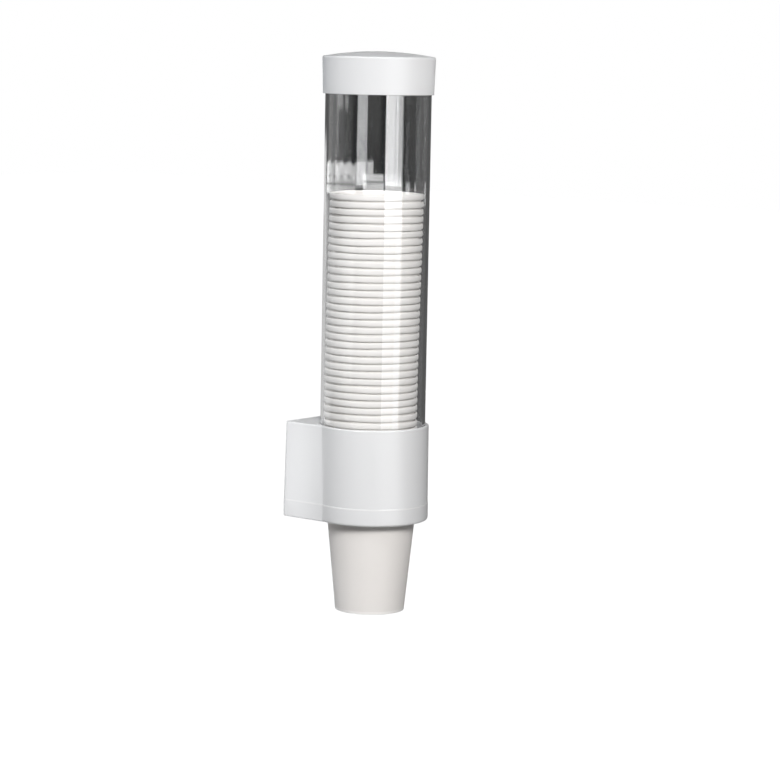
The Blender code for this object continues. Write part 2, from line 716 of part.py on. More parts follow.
def main():
    clear_scene()
    parts = new_collection("cup_dispenser")
    cutters = new_collection("cutters")
    white = new_material("white_plastic", WHITE, 0.35)
    clear = new_material("clear_acrylic", CLEAR, 0.05)
    paper = new_material("cup_paper", PAPER, 0.75)
    soft = new_material("soft_grey_rubber", SOFT_GREY, 0.7)
    steel = new_material("screw_steel", STEEL, 0.35, 1.0)
    foam = new_material("adhesive_foam", FOAM, 0.9)

    finish(make_housing(parts, cutters), white)
    finish(make_cover(parts, cutters), white)
    finish(make_wall_plate(parts, cutters), white)
    finish(make_pad("foam_pad_upper", 1, parts), foam)
    finish(make_pad("foam_pad_lower", -1, parts), foam)
    finish(make_lid(parts), white)
    finish(make_tube(parts), clear)
    finish(make_cup("lowest_cup", cup_bottom(0), CUP_STEPS, parts), paper)
    finish(make_cup("next_cup", cup_bottom(1), CUP_STEPS, parts), paper)
    finish(make_cup_stack(2, CUP_COUNT - 2, parts), paper)
    finish(make_cup("top_cup", cup_bottom(CUP_COUNT - 1), STACK_STEPS, parts), paper)
    finish(make_finger_ring(parts), soft)
    for number in range(1, FINGER_COUNT + 1):
        finish(make_finger(number, parts), soft)
    for number, (x, y) in enumerate(screw_positions(), 1):
        finish(make_screw(number, x, y, parts), steel)
    hide_cutters(cutters)


main()
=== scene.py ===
import math

import bpy
import numpy as np
from mathutils import Matrix, Vector


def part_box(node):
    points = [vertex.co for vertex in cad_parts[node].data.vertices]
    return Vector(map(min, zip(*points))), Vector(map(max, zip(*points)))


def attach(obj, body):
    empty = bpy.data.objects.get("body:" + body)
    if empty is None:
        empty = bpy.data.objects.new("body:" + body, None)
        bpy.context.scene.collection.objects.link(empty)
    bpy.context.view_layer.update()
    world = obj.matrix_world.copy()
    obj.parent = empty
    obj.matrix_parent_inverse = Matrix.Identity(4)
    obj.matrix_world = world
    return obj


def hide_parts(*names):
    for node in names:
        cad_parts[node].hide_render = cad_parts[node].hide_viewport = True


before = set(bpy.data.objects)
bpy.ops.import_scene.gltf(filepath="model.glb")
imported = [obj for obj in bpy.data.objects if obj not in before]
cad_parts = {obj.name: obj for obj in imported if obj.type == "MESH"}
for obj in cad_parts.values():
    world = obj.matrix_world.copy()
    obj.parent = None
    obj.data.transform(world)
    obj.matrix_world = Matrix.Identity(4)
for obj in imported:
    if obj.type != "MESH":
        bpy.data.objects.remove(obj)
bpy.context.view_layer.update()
print("frame loaded")

axisY = -0.0575  # the tube's axis stands this far off the wall, which is the plane y = 0
underside = -0.038  # lower face of the bottom cover


# Shader tools

class Signal:
    # a number that varies over a surface; arithmetic on it adds Math nodes
    def __init__(self, finish, socket):
        self.finish = finish
        self.socket = socket

    def maths(self, operation, *terms):
        node = self.finish.node("ShaderNodeMath", {"operation": operation}, dict(enumerate(terms)))
        return Signal(self.finish, node.outputs[0])

    def __add__(self, other):
        return self.maths("ADD", self, other)

    def __sub__(self, other):
        return self.maths("SUBTRACT", self, other)

    def __rsub__(self, other):
        return self.maths("SUBTRACT", other, self)

    def __mul__(self, other):
        return self.maths("MULTIPLY", self, other)

    __radd__ = __add__
    __rmul__ = __mul__

    def larger(self, other):
        return self.maths("MAXIMUM", self, other)

    def step(self, low, high):
        # 0 below low, 1 above high, smooth between them
        node = self.finish.node("ShaderNodeMapRange", {"interpolation_type": "SMOOTHSTEP"},
                                {"Value": self, "From Min": low, "From Max": high})
        return Signal(self.finish, node.outputs["Result"])

    def window(self, low, high, soft):
        # 1 between low and high, 0 outside, with soft borders
        return self.step(low - soft, low + soft) * (1 - self.step(high - soft, high + soft))


class Finish:
    # the node tree of one material, or of the world
    def __init__(self, name, owner=None):
        self.owner = owner or bpy.data.materials.new(name)
        self.owner.use_nodes = True
        self.tree = self.owner.node_tree
        self.tree.nodes.clear()

    def node(self, kind, settings, inputs):
        node = self.tree.nodes.new(kind)
        for name, value in settings.items():
            setattr(node, name, value)
        for name, value in inputs.items():
            if isinstance(value, Signal):
                value = value.socket
            if isinstance(value, bpy.types.NodeSocket):
                self.tree.links.new(value, node.inputs[name])
            else:
                node.inputs[name].default_value = value
        return node

    def place(self, scale=(1.0, 1.0, 1.0)):
        # object coordinates, stretched
        source = self.node("ShaderNodeTexCoord", {}, {})
        mapping = self.node("ShaderNodeMapping", {}, {"Vector": source.outputs["Object"], "Scale": scale})
        return mapping.outputs[0]

    def height(self, vector):
        # third number of a vector
        split = self.node("ShaderNodeSeparateXYZ", {}, {0: vector})
        return Signal(self, split.outputs[2])

    def rays(self, *kinds):
        # 1 for a ray of any of these kinds, 0 for other rays
        path = self.node("ShaderNodeLightPath", {}, {})
        masks = [Signal(self, path.outputs[kind]) for kind in kinds]
        mask = masks[0]
        for other in masks[1:]:
            mask = mask.larger(other)
        return mask

    def noise(self, vector, scale, detail=2.0, roughness=0.5):
        node = self.node("ShaderNodeTexNoise", {}, {"Vector": vector, "Scale": scale, "Detail": detail,
                                                    "Roughness": roughness})
        return Signal(self, node.outputs[0])

    def blend(self, amount, first, second):
        # colour that runs from first to second; 6, 7 and 2 are the node's sockets for colours
        node = self.node("ShaderNodeMix", {"data_type": "RGBA"}, {0: amount, 6: first, 7: second})
        return node.outputs[2]

    def bump(self, height, distance, strength):
        inputs = {"Height": height, "Distance": distance, "Strength": strength}
        return self.node("ShaderNodeBump", {}, inputs).outputs[0]

    def surface(self, **inputs):
        # principled surface; an input's name has _ for each space
        named = {name.replace("_", " "): value for name, value in inputs.items()}
        shader = self.node("ShaderNodeBsdfPrincipled", {}, named)
        self.out(shader.outputs[0])
        return shader

    def out(self, socket, kind="ShaderNodeOutputMaterial"):
        self.node(kind, {}, {"Surface": socket})


def tone(red, green, blue, share=1.0):
    # colour for a socket, darkened to a share of itself
    return (red * share, green * share, blue * share, 1.0)


# Surface tools

def gridMesh(name, grid, loop=False, poleFirst=False, poleLast=False):
    # rows of the grid follow a profile and columns go round and close; with loop the rows close too,
    # and a pole row counts as its one first point
    rows, columns = grid.shape[:2]
    index = np.arange(rows * columns).reshape(rows, columns)
    if poleFirst:
        index[0] = index[0, 0]
    if poleLast:
        index[-1] = index[-1, 0]
    below = np.roll(index, -1, axis=0) if loop else index[1:]
    above = index if loop else index[:-1]
    quads = np.stack([above, np.roll(above, -1, axis=1), np.roll(below, -1, axis=1), below], axis=2)
    quads = quads.reshape(-1, 4)
    points = grid.reshape(-1, 3)
    used, quads = np.unique(quads, return_inverse=True)
    quads = quads.reshape(-1, 4)
    points = points[used]
    fans = (quads[:, 0] == quads[:, 1]) | (quads[:, 2] == quads[:, 3])
    corners = points[quads]
    volume = np.einsum("ij,ij->i", corners[:, 0], np.cross(corners[:, 1], corners[:, 2])
                       + np.cross(corners[:, 2], corners[:, 3])).sum()
    if volume < 0:
        quads = quads[:, ::-1]
    whole = quads[~fans]
    pieces = quads[fans]
    same = pieces == np.roll(pieces, -1, axis=1)
    pieces = pieces[~same].reshape(-1, 3)
    vertexIndex = np.concatenate([whole.ravel(), pieces.ravel()])
    starts = np.concatenate([np.arange(len(whole)) * 4, len(whole) * 4 + np.arange(len(pieces)) * 3])
    mesh = bpy.data.meshes.new(name)
    mesh.vertices.add(len(points))
    mesh.vertices.foreach_set("co", points.astype(np.float32).ravel())
    mesh.loops.add(len(vertexIndex))
    mesh.loops.foreach_set("vertex_index", vertexIndex.astype(np.int32))
    mesh.polygons.add(len(starts))
    mesh.polygons.foreach_set("loop_start", starts.astype(np.int32))
    mesh.update(calc_edges=True)
    mesh.validate()
    mesh.shade_smooth()
    return mesh


def roundedLine(corners, facets=6, spacing=0.004, margin=0.0003, closed=False):
    # a line through (radius, height, fillet) corners: each corner becomes an arc that touches both sides,
    # and the straight parts get points at even steps and one close to each arc
    corners = np.array(corners, float)
    count = len(corners)
    runs = []
    for number, (radius, height, fillet) in enumerate(corners):
        here = np.array([radius, height])
        ends = not closed and number in (0, count - 1)
        if fillet == 0 or ends:
            runs.append(here[None])
            continue
        back = corners[number - 1, :2] - here
        ahead = corners[(number + 1) % count, :2] - here
        back /= np.linalg.norm(back)
        ahead /= np.linalg.norm(ahead)
        half = math.acos(np.clip(back @ ahead, -1, 1)) / 2
        middle = here + (back + ahead) / np.linalg.norm(back + ahead) * fillet / math.sin(half)
        start = here + back * fillet / math.tan(half) - middle
        end = here + ahead * fillet / math.tan(half) - middle
        turn = math.pi - 2 * half
        share = np.linspace(0, 1, facets + 1)[:, None]
        arc = (np.sin((1 - share) * turn) * start + np.sin(share * turn) * end) / math.sin(turn)
        runs.append(middle + arc)
    line = []
    for number, run in enumerate(runs):
        line.append(run)
        if number == count - 1 and not closed:
            break
        start = run[-1]
        end = runs[(number + 1) % count][0]
        length = np.linalg.norm(end - start)
        if length < margin * 4:
            continue
        inner = np.linspace(margin, length - margin, max(2, math.ceil(length / spacing) + 1))
        line.append(start + (end - start) * (inner / length)[:, None])
    return np.concatenate(line)


def turnedGrid(profile, steps, swell=0.0, lift=0.0):
    # profile turned round the tube's axis: x = r cos a, y = axis + r sin a, where swell adds to r and
    # lift to the height, each a number or an array of profile rows by angles
    angle = np.linspace(0, 2 * np.pi, steps, endpoint=False)
    radius = profile[:, :1] + swell
    height = profile[:, 1:] + lift
    radius, height, angle = np.broadcast_arrays(radius, height, angle[None])
    return np.stack([radius * np.cos(angle), axisY + radius * np.sin(angle), height], axis=2)


def addPiece(name, mesh, finish, body, slot, *nodes):
    # visible piece that rides a body and stands for CAD nodes
    thing = bpy.data.objects.new(name, mesh)
    bpy.context.scene.collection.objects.link(thing)
    mesh.materials.append(finish)
    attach(thing, body)
    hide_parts(*nodes)
    return thing


def sharpen(mesh, degrees):
    mesh.set_sharp_from_angle(angle=math.radians(degrees))


# Camera, light and background

cameraView = {
    "distance": 2.15865,  # from the tube's axis
    "height": 0.37738,  # over the underside
    "azimuth": -51.0,  # degrees, from straight in front towards the left of the dispenser
    "pitch": 0.12660,  # radians downwards
    "yaw": 0.00613,
    "roll": 0.01881,
    "lens": 127.085,
    "sensor": 36.0,
}


def fromCamera(degrees, distance, height):
    # point at an angle from the camera's direction, seen from above, positive to the right of the picture
    angle = math.radians(cameraView["azimuth"] + degrees)
    return (distance * math.sin(angle), axisY - distance * math.cos(angle), height)


def makeCamera(view):
    # camera at its direction and height, turned by yaw and pitch, then rolled about its own axis
    turn = math.radians(view["azimuth"])
    pitch, yaw, roll = view["pitch"], view["yaw"], view["roll"]
    forward = np.array([math.sin(yaw) * math.cos(pitch), math.cos(yaw) * math.cos(pitch), -math.sin(pitch)])
    right = np.array([math.cos(yaw), -math.sin(yaw), 0.0])
    up = np.cross(right, forward)
    across = math.cos(roll) * right + math.sin(roll) * up
    upward = -math.sin(roll) * right + math.cos(roll) * up
    columns = np.stack([across, upward, -forward], axis=1)
    turned = np.array([[math.cos(turn), -math.sin(turn), 0], [math.sin(turn), math.cos(turn), 0], [0, 0, 1]])
    matrix = Matrix((turned @ columns).tolist()).to_4x4()
    matrix.translation = fromCamera(0.0, view["distance"], underside + view["height"])
    lens = bpy.data.cameras.new("camera")
    lens.lens = view["lens"]
    lens.sensor_width = view["sensor"]
    lens.clip_start = 0.05
    camera = bpy.data.objects.new("camera", lens)
    camera.matrix_world = matrix
    bpy.context.scene.collection.objects.link(camera)
    bpy.context.scene.camera = camera


lampTarget = (0.0, axisY, 0.12)  # where a lamp looks that has no aim of its own

lamps = {
    # from: degrees from the camera's direction, distance, height; the lamps with a spread stand for the
    # light that white walls throw back
    "key": {"from": (10.0, 1.6, 0.866), "size": (0.5, 0.5), "power": 28.4, "colour": (1.0, 0.99, 0.98)},
    "leftFill": {"from": (-45.0, 1.4, 1.2), "size": (0.8, 0.8), "power": 7.8, "colour": (0.94, 0.97, 1.0)},
    "wallLight": {"from": (-63.5, 0.110, 0.0), "size": (0.02, 0.14), "power": 0.0046, "spread": 75.0,
                  "colour": (1.0, 1.0, 1.0), "aim": (-0.034, -0.014, 0.0)},
    "cupLight": {"from": (-100.0, 0.42, -0.14), "size": (0.06, 0.06), "power": 0.0026, "spread": 13.0,
                 "colour": (0.94, 0.97, 1.0), "aim": (0.0, axisY, -0.09)},
    "lidLight": {"from": (-100.0, 0.42, 0.31), "size": (0.06, 0.06), "power": 0.0030, "spread": 12.0,
                 "colour": (0.94, 0.97, 1.0), "aim": (0.0, axisY, 0.312)},
    "lidRight": {"from": (80.0, 0.42, 0.31), "size": (0.06, 0.06), "power": 0.0032, "spread": 12.0,
                 "colour": (1.0, 0.99, 0.98), "aim": (0.0, axisY, 0.312)},
    "backRight": {"from": (140.0, 1.7, 0.50), "size": (1.3, 1.3), "power": 4.2, "colour": (1.0, 1.0, 1.0)},
    "backLeft": {"from": (-140.0, 1.7, 0.50), "size": (1.3, 1.3), "power": 5.1, "colour": (0.92, 0.96, 1.0)},
}


def makeLamp(name, lamp):
    # soft oval lamp that only lights surfaces: no ray from the camera, a mirror or through glass sees it
    light = bpy.data.lights.new(name, "AREA")
    light.shape = "ELLIPSE"
    light.size, light.size_y = lamp["size"]
    light.energy = lamp["power"]
    light.color = lamp["colour"]
    light.spread = math.radians(lamp.get("spread", 180.0))
    thing = bpy.data.objects.new(name, light)
    place = Vector(fromCamera(*lamp["from"]))
    target = Vector(lamp.get("aim", lampTarget))
    thing.rotation_euler = (target - place).to_track_quat("-Z", "Y").to_euler()
    thing.location = place
    thing.visible_camera = False
    thing.visible_glossy = False
    thing.visible_transmission = False
    bpy.context.scene.collection.objects.link(thing)


worldLevel = 0.08


def makeWorld(level):
    # white where a camera, mirror or glass ray leaves the scene, and an even grey light for the surfaces
    world = bpy.data.worlds.new("world")
    bpy.context.scene.world = world
    finish = Finish("world", world)
    seen = finish.rays("Is Camera Ray", "Is Glossy Ray", "Is Transmission Ray")
    strength = level + (1.0 - level) * seen
    shade = finish.node("ShaderNodeBackground", {}, {"Color": tone(1.0, 1.0, 1.0), "Strength": strength})
    finish.out(shade.outputs[0], "ShaderNodeOutputWorld")


floor = {
    "height": -0.60,
    "size": 12.0,
    "colour": (0.9, 0.9, 0.9),
    "grain": 0.99,  # share of the colour in the darkest grains
    "bounce": (0.3, 0.3, 0.3),  # its colour in the light that it throws back on the object
    "nearShine": 0.72,
    "farShine": 0.90,
    "fade": (0.6, 1.3),  # metres from the middle
}


def makeFloor(floor):
    # pale floor: its own light makes up for what the lamps leave dark, so it reads white far off and keeps
    # the shadow near the object, where that light fades with the distance from the middle
    finish = Finish("floorPaint")
    seen = finish.rays("Is Camera Ray", "Is Glossy Ray", "Is Transmission Ray")
    grain = finish.noise(finish.place(), 60.0, 3.0)
    flat = finish.node("ShaderNodeVectorMath", {"operation": "LENGTH"}, {0: finish.place((1.0, 1.0, 0.0))})
    far = Signal(finish, flat.outputs["Value"]).step(*floor["fade"])
    shine = floor["nearShine"] + (floor["farShine"] - floor["nearShine"]) * far
    paint = finish.blend(grain, tone(*floor["colour"], floor["grain"]), tone(*floor["colour"]))
    thrown = finish.rays("Is Diffuse Ray")
    finish.surface(
        Base_Color=finish.blend(thrown, paint, tone(*floor["bounce"])),
        Roughness=0.9,
        Emission_Color=tone(1.0, 1.0, 1.0),
        Emission_Strength=seen * shine,
    )
    corners = np.array([[-1, -1], [1, -1], [1, 1], [-1, 1]]) * floor["size"]
    points = [(x, y, floor["height"]) for x, y in corners]
    mesh = bpy.data.meshes.new("floor")
    mesh.from_pydata(points, [], [(0, 1, 2, 3)])
    mesh.materials.append(finish.owner)
    thing = bpy.data.objects.new("floor", mesh)
    bpy.context.scene.collection.objects.link(thing)


tent = {
    "columns": 180,
    "radius": 1.0,
    "low": -1.1,
    "high": 3.0,
    "dark": 0.014,  # what glass lets through from behind
    "base": 0.10,  # what surfaces reflect between the cards
    "folds": 0.55,  # how strongly the cards' cloth varies round the tent
    # each card: side in degrees from the camera's direction, height in metres, soft borders, light; teeth
    # are the width in degrees and depth in metres of a zigzag upper border
    "frontCards": [
        {"side": (17.5, 56.5), "height": (0.125, 1.6), "soft": (0.8, 0.02), "light": 3.6},
        {"side": (17.5, 39.5), "height": (0.125, 1.6), "soft": (0.8, 0.02), "light": 1.0},
        {"side": (17.5, 56.5), "height": (-1.2, 0.125), "soft": (1.0, 0.02), "light": 1.9},
        {"side": (17.5, 56.5), "height": (0.168, 0.1820), "soft": (0.8, 0.001), "light": 3.2},
        {"side": (44.0, 60.0), "height": (-1.2, 0.140), "soft": (4.0, 0.01), "light": 1.2},
        {"side": (-26.0, 6.0), "height": (0.2, 1.6), "soft": (5.0, 0.05), "light": 0.4},
        {"side": (-102.0, -47.0), "height": (0.1880, 0.2035), "soft": (1.0, 0.0008), "light": 6.0,
         "teeth": (10.5, 0.0045)},
        {"side": (-140.0, -102.0), "height": (0.1868, 0.2035), "soft": (4.0, 0.0008), "light": 2.5,
         "teeth": (10.5, 0.0045)},
        {"side": (-102.0, -47.0), "height": (0.1782, 0.1852), "soft": (1.0, 0.0008), "light": 4.6},
        {"side": (-140.0, -102.0), "height": (0.1770, 0.1842), "soft": (4.0, 0.0008), "light": 2.4},
        {"side": (-102.0, -47.0), "height": (0.1680, 0.1766), "soft": (1.0, 0.0008), "light": 4.6},
        {"side": (-140.0, -102.0), "height": (0.1660, 0.1754), "soft": (4.0, 0.0008), "light": 2.4},
        {"side": (-47.0, -25.0), "height": (0.1740, 0.2035), "soft": (0.8, 0.001), "light": 4.0},
        {"side": (-30.0, 13.0), "height": (0.1820, 0.190), "soft": (0.8, 0.0008), "light": 7.0},
        {"side": (-30.0, 14.5), "height": (0.1690, 0.1804), "soft": (0.8, 0.0008), "light": 6.6},
        {"side": (-21.5, -8.5), "height": (0.190, 0.2045), "soft": (2.0, 0.001), "light": 6.0},
        {"side": (-147.0, -108.0), "height": (-0.15, 0.166), "soft": (8.0, 0.02), "light": 0.85},
        {"side": (-110.0, -47.0), "height": (-0.05, 0.120), "soft": (6.0, 0.03), "light": 0.9},
        {"side": (-98.0, -82.0), "height": (0.262, 1.6), "soft": (1.5, 0.004), "light": 1.6},
        {"side": (-76.0, -68.0), "height": (0.262, 1.6), "soft": (1.5, 0.004), "light": 1.8},
        {"side": (-132.0, -74.0), "height": (0.2, 1.6), "soft": (8.0, 0.01), "light": 0.55},
        {"side": (65.5, 75.0), "height": (0.168, 0.1800), "soft": (1.0, 0.002), "light": 4.5},
        {"side": (90.0, 93.0), "height": (0.168, 0.1790), "soft": (0.6, 0.002), "light": 4.0},
        {"side": (127.5, 132.0), "height": (0.152, 0.1790), "soft": (0.8, 0.002), "light": 1.5},
        {"side": (62.0, 132.0), "height": (-1.2, 1.6), "soft": (12.0, 0.01), "light": 0.32},
        {"side": (-180.0, -150.0), "height": (-1.2, 0.140), "soft": (1.5, 0.02), "light": 0.48},
        {"side": (-180.0, -150.0), "height": (0.140, 0.225), "soft": (1.5, 0.02), "light": 0.62},
        {"side": (-115.0, 115.0), "height": (1.65, 3.0), "soft": (5.0, 0.05), "light": 14.0},
    ],
    "backCards": [
        {"side": (28.5, 49.5), "height": (0.06, 1.6), "soft": (0.8, 0.05), "light": 6.2},
        {"side": (25.0, 28.0), "height": (0.06, 1.6), "soft": (0.8, 0.05), "light": 6.8},
        {"side": (-59.5, -18.3), "height": (0.06, 1.6), "soft": (0.8, 0.05), "light": 2.6},
        {"side": (-40.5, -18.3), "height": (0.06, 1.6), "soft": (0.8, 0.05), "light": 3.4},
        {"side": (-50.0, -43.5), "height": (0.06, 1.6), "soft": (0.8, 0.05), "light": 4.4},
        {"side": (-59.5, -18.3), "height": (0.06, 0.183), "soft": (0.8, 0.002), "light": 2.6},
        {"side": (62.0, 132.0), "height": (-1.2, 1.6), "soft": (12.0, 0.01), "light": 0.30},
    ],
}


def makeTent(tent):
    # upright cylinder of cards round the object, seen by reflections and through glass only; its own map
    # holds the angle from the camera's direction in degrees and the height in metres
    columns = tent["columns"]
    angle = np.linspace(-180, 180, columns + 1)
    heights = np.array([tent["low"], tent["high"]])
    turn = np.radians(cameraView["azimuth"] + angle)
    ring = np.stack([tent["radius"] * np.sin(turn), axisY - tent["radius"] * np.cos(turn)], axis=1)
    points = np.concatenate([np.column_stack([ring, np.full(len(ring), z)]) for z in heights])
    start = np.arange(columns)
    quads = np.column_stack([start, start + 1, start + 1 + len(ring), start + len(ring)])
    mesh = bpy.data.meshes.new("lightTent")
    mesh.from_pydata(points.tolist(), [], quads.tolist())
    layer = mesh.uv_layers.new(name="cards")
    across = np.tile(angle, 2)[quads.ravel()]
    upward = np.repeat(heights, len(ring))[quads.ravel()]
    layer.data.foreach_set("uv", np.column_stack([across, upward]).astype(np.float32).ravel())

    finish = Finish("lightCards")
    chart = finish.node("ShaderNodeUVMap", {"uv_map": "cards"}, {})
    split = finish.node("ShaderNodeSeparateXYZ", {}, {0: chart.outputs[0]})
    side = Signal(finish, split.outputs[0])
    height = Signal(finish, split.outputs[1])
    folded = finish.node("ShaderNodeCombineXYZ", {}, {0: side, 1: height * 4.0})
    narrow = finish.noise(folded.outputs[0], 0.5, 3.0, 0.6)
    broad = finish.noise(folded.outputs[0], 0.11, 2.0)
    fold = 0.5 * narrow + 0.5 * broad

    def cards(chosen):
        # light of the cards added up, made uneven by the cloth's folds
        light = tent["base"]
        for card in chosen:
            border = height
            if "teeth" in card:
                width, depth = card["teeth"]
                border = height + depth / width * side.maths("PINGPONG", side, width)
            softSide, softHeight = card["soft"]
            shape = side.window(*card["side"], softSide) * border.window(*card["height"], softHeight)
            light = light + card["light"] * shape
        return light * (1.0 - tent["folds"] / 2 + tent["folds"] * fold)

    path = finish.node("ShaderNodeLightPath", {}, {})
    bounces = Signal(finish, path.outputs["Glossy Depth"])
    mirrored = bounces.maths("MINIMUM", bounces, 1.0)
    behind = Signal(finish, path.outputs["Transmission Depth"]).step(2.9, 3.1)  # the tube's far wall
    light = behind * cards(tent["backCards"]) + (1 - behind) * cards(tent["frontCards"])
    level = tent["dark"] + mirrored * (light - tent["dark"])
    glow = finish.node("ShaderNodeEmission", {}, {"Color": tone(1.0, 1.0, 1.0), "Strength": level})
    finish.out(glow.outputs[0])
    finish.owner.cycles.emission_sampling = "NONE"
    mesh.materials.append(finish.owner)
    thing = bpy.data.objects.new("lightTent", mesh)
    bpy.context.scene.collection.objects.link(thing)
    thing.visible_camera = False
    thing.visible_diffuse = False
    thing.visible_shadow = False
    thing.visible_volume_scatter = False


bpy.context.scene.view_settings.view_transform = "Standard"
makeCamera(cameraView)
makeWorld(worldLevel)
makeFloor(floor)
makeTent(tent)
for lampName, lamp in lamps.items():
    makeLamp(lampName, lamp)
print("camera and light ready")


# Finishes

def mouldedPlastic(name, colour, roughness, seam=None):
    # satin moulding: faint clouding of the colour, fine orange peel in the gloss and the surface, and a
    # painted highlight: paler plastic between the two heights of a seam's border, standing in for the light
    # that the border's edge catches
    finish = Finish(name)
    place = finish.place()
    cloud = finish.noise(place, 18.0, 3.0)
    peel = finish.noise(place, 700.0, 2.0)
    grain = finish.noise(place, 2600.0, 1.0)
    paint = finish.blend(cloud, tone(*colour, 0.985), tone(*colour))
    if seam:
        # painted highlight: the seam's border is paler, for the light caught on its edge
        line = finish.height(place).window(*seam["highlightBand"], seam["soft"])
        paint = finish.blend(line, paint, tone(*seam["colour"]))
    finish.surface(
        Base_Color=paint,
        Roughness=roughness - 0.03 + 0.05 * peel + 0.02 * cloud,
        Normal=finish.bump(0.6 * peel + 0.4 * grain, 0.00002, 0.35),
        IOR=1.5,
    )
    return finish.owner


def clearAcrylic(tube):
    # clear tube: polished, with faint lines along it from drawing, and open to the lamps' shadow rays
    finish = Finish("clearAcrylic")
    drawn = finish.noise(finish.place((1.0, 1.0, 0.02)), tube["lineScale"], 3.0, 0.6)
    haze = finish.noise(finish.place(), 40.0, 3.0)
    shader = finish.node("ShaderNodeBsdfPrincipled", {}, {
        "Base Color": tone(*tube["colour"]), "IOR": 1.49, "Transmission Weight": 1.0,
        "Roughness": 0.012 + 0.02 * haze,
        "Normal": finish.bump(drawn, tube["lineDepth"], 0.5),
    })
    clear = finish.node("ShaderNodeBsdfTransparent", {}, {"Color": tone(0.99, 0.992, 0.995)})
    lamp = finish.rays("Is Shadow Ray", "Is Diffuse Ray")
    mix = finish.node("ShaderNodeMixShader", {}, {0: lamp, 1: shader.outputs[0], 2: clear.outputs[0]})
    finish.out(mix.outputs[0])
    return finish.owner


def cupPaper(name, colour, foot=None):
    # coated cup board: soft mottle and short fibres in the colour, the same fibres raised a little, and a
    # painted highlight: paler colour below the height of a foot line, for the light caught on the foot's
    # curl
    finish = Finish(name)
    place = finish.place()
    mottle = finish.noise(place, 55.0, 4.0, 0.6)
    fibre = finish.noise(finish.place((1.0, 1.0, 0.35)), 1800.0, 3.0, 0.7)
    shade = 0.6 * mottle + 0.4 * fibre
    paint = finish.blend(shade, tone(*colour, 0.955), tone(*colour))
    if foot:
        # painted highlight: paler below the foot line, for the light caught on the foot's curl
        line = 1 - finish.height(place).step(foot["line"] - foot["soft"], foot["line"] + foot["soft"])
        paint = finish.blend(line, paint, tone(*foot["colour"]))
    finish.surface(
        Base_Color=paint,
        Roughness=0.62 + 0.10 * (fibre - 0.5) + 0.08 * (mottle - 0.5),
        Normal=finish.bump(0.7 * fibre + 0.3 * mottle, 0.00004, 0.6),
        IOR=1.45,
    )
    return finish.owner


def softRubber():
    # matte moulded rubber with a fine stipple
    finish = Finish("softRubber")
    place = finish.place()
    stipple = finish.noise(place, 1500.0, 2.0, 0.6)
    cloud = finish.noise(place, 60.0, 3.0)
    finish.surface(
        Base_Color=finish.blend(cloud, tone(0.50, 0.51, 0.52), tone(0.58, 0.59, 0.60)),
        Roughness=0.62 + 0.16 * stipple,
        Normal=finish.bump(stipple, 0.00006, 0.6),
    )
    return finish.owner


def screwSteel():
    # zinc-plated steel: mottled shine and a fine grain
    finish = Finish("screwSteel")
    place = finish.place()
    mottle = finish.noise(place, 900.0, 3.0, 0.6)
    grain = finish.noise(place, 5000.0, 2.0)
    finish.surface(
        Base_Color=finish.blend(mottle, tone(0.52, 0.53, 0.55), tone(0.68, 0.69, 0.70)),
        Metallic=1.0,
        Roughness=0.26 + 0.2 * mottle,
        Normal=finish.bump(grain, 0.00001, 0.4),
    )
    return finish.owner


def adhesiveFoam():
    # closed-cell foam: small round cells pitted into an off-white sheet
    finish = Finish("adhesiveFoam")
    place = finish.place()
    cells = finish.node("ShaderNodeTexVoronoi", {}, {"Vector": place, "Scale": 1400.0})
    pit = Signal(finish, cells.outputs["Distance"])
    tint = finish.noise(place, 90.0, 3.0)
    finish.surface(
        Base_Color=finish.blend(0.6 * pit + 0.4 * tint, tone(0.62, 0.61, 0.58), tone(0.78, 0.77, 0.74)),
        Roughness=0.85 + 0.1 * pit,
        Normal=finish.bump(pit, 0.0002, 0.8),
    )
    return finish.owner


coverSeam = {
    # heights between which the cover's points are lifted, and by how much
    "low": -0.0247,
    "high": -0.0242,
    "lift": 0.00024,
    # painted highlight along the seam: the paler border's heights, how softly it ends, its colour
    "highlightBand": (-0.0251, -0.0240),
    "soft": 0.0001,
    "colour": (0.86, 0.86, 0.865),
}

whitePlastic = (0.80, 0.805, 0.815)
housingPlastic = mouldedPlastic("housingPlastic", whitePlastic, 0.34)
coverPlastic = mouldedPlastic("coverPlastic", whitePlastic, 0.34, coverSeam)
# painted shade: the lid's white plastic is darker than the housing's, holding down the strong light that
# falls on its top and rim
shadedLidPlastic = mouldedPlastic("shadedLidPlastic", (0.72, 0.725, 0.735), 0.42)
rubber = softRubber()
steel = screwSteel()
foam = adhesiveFoam()
print("finishes ready")


# Mouldings that keep the CAD shape: housing, bottom cover, wall plate

def closedSeam(points):
    # the cover's upper border rises until only a hair line is left under the housing
    moved = points.copy()
    border = (points[:, 2] > coverSeam["low"]) & (points[:, 2] < coverSeam["high"])
    moved[:, 2] += coverSeam["lift"] * border
    return moved


